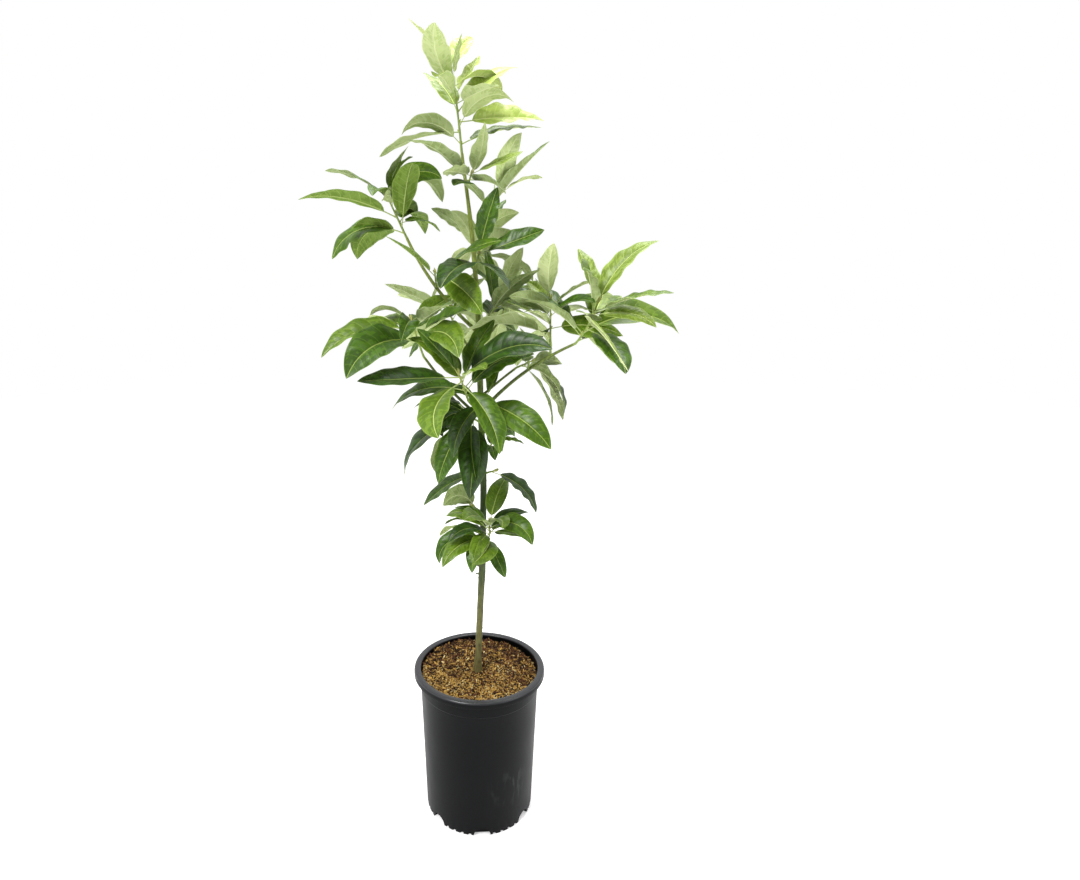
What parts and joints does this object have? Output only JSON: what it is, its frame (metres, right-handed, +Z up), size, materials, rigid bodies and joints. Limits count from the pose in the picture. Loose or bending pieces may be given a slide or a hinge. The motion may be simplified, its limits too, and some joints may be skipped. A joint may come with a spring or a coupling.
{
  "type": "avocado tree in a pot",
  "caption": "Young avocado tree on one slim trunk with leafy side shoots, growing in a round black nursery pot full of potting mix.",
  "frame": {"origin": "centre of the pot's flat underside", "axes": "+Z up along the pot's axis, -Y towards the front of the plant, +X to its right seen from the front"},
  "size_m": [0.5905, 0.4236, 1.3448],
  "materials": {
    "pot_plastic": "satin black moulded plastic",
    "potting_mix": "golden and red-brown bark chips and fibre",
    "bark": "smooth olive bark with leaf scars",
    "foliage": "leathery leaves, glossy above and pale beneath"
  },
  "bodies": {
    "root": {"pot": "pot_plastic", "soil": "potting_mix", "trunk": "bark", "bough_left": "bark", "bough_right": "bark", "bough_right_inner": "bark", "bough_mid_left": "bark", "bough_front_left": "bark", "bough_back_left": "bark", "bough_back_right": "bark", "crown_top": "foliage", "leader_upper": "foliage", "side_shoot": "foliage", "left_tip": "foliage", "left_side": "foliage", "leader_mid": "foliage", "right_upper": "foliage", "right_mid": "foliage", "right_tip": "foliage", "mid_left_tip": "foliage", "left_centre": "foliage", "centre_front": "foliage", "whorl": "foliage", "right_droop": "foliage", "right_inner": "foliage", "small_right": "foliage", "lower_shoot": "foliage", "leaf_left": "foliage", "leaf_right": "foliage", "leaf_low": "foliage", "back_left": "foliage", "back_right": "foliage", "back_top": "foliage"}
  },
  "joints": []
}
